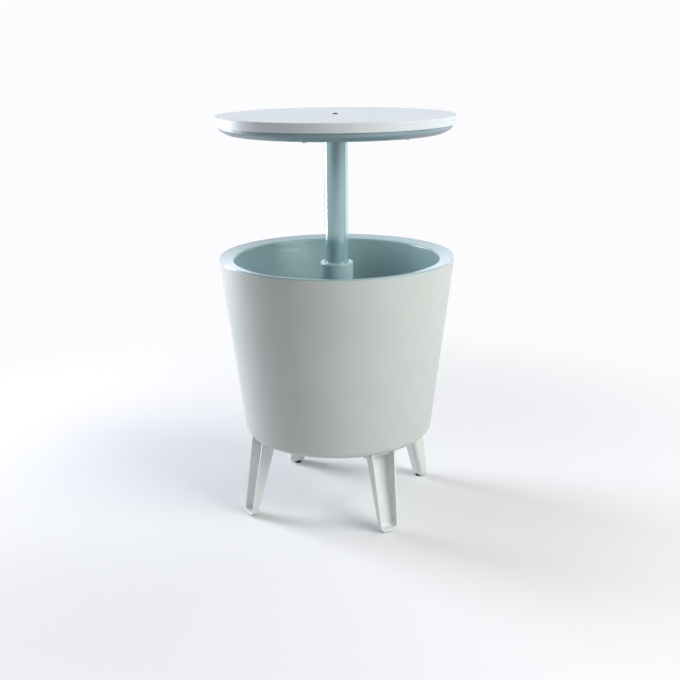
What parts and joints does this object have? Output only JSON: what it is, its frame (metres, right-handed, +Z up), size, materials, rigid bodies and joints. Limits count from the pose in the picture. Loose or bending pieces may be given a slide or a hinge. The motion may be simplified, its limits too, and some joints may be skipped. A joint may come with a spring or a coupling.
{
  "type": "ice bucket coffee table",
  "caption": "Round drinks cooler on splayed channel legs whose table top lifts on a central pole, twists to lock, and lowers to close the ice well.",
  "frame": {"origin": "on the floor, on the vertical axis of the bucket and the pole", "axes": "+Z up along the pole, -Y towards the front, +X to the right seen from the front"},
  "size_m": [0.4946, 0.4946, 0.8424],
  "materials": {
    "light_grey_plastic": "fine satin moulded polypropylene, warm light grey",
    "blue_grey_plastic": "smooth moulded polypropylene, blue-grey",
    "blue_grey_tube": "glossy painted aluminium tube, blue-grey",
    "nylon": "plain moulded nylon",
    "black_rubber": "matt moulded rubber",
    "black_steel": "black-oxide steel screw head",
    "zinc_steel": "zinc-plated steel"
  },
  "bodies": {
    "bucket": {"outer_shell": "light_grey_plastic", "inner_liner": "blue_grey_plastic", "pole_sleeve": "blue_grey_plastic", "sleeve_screws": "zinc_steel", "leg_back_right": "light_grey_plastic", "leg_back_left": "light_grey_plastic", "leg_front_left": "light_grey_plastic", "leg_front_right": "light_grey_plastic", "foot_pad_back_right": "black_rubber", "foot_pad_back_left": "black_rubber", "foot_pad_front_left": "black_rubber", "foot_pad_front_right": "black_rubber", "leg_screws": "zinc_steel", "drain_spout": "nylon", "drain_gasket": "black_rubber", "drain_nut": "nylon"},
    "guide_bush": {"guide_bush": "nylon"},
    "table": {"table_disc": "light_grey_plastic", "table_pan": "blue_grey_plastic", "pan_screws": "zinc_steel", "centre_ring": "light_grey_plastic", "table_screw": "black_steel", "table_washer": "zinc_steel", "pole_hub": "nylon", "hub_screws": "zinc_steel", "hub_rivets": "zinc_steel", "pole_tube": "blue_grey_tube", "pole_foot": "nylon", "foot_rivets": "zinc_steel"},
    "drain_plug": {"drain_plug": "black_rubber", "plug_seal": "black_rubber"}
  },
  "joints": [
    {"name": "table_twist", "type": "hinge", "parent": "bucket", "child": "guide_bush", "pos_m": [0, 0, 0.5], "axis": [0, 0, 1], "range_deg": [-60, 0]},
    {"name": "table_lift", "type": "slide", "parent": "guide_bush", "child": "table", "axis": [0, 0, 1], "range_m": [-0.2584, 0]},
    {"name": "plug_pull", "type": "slide", "parent": "bucket", "child": "drain_plug", "axis": [0, 0, 1], "range_m": [0, 0.05]}
  ]
}
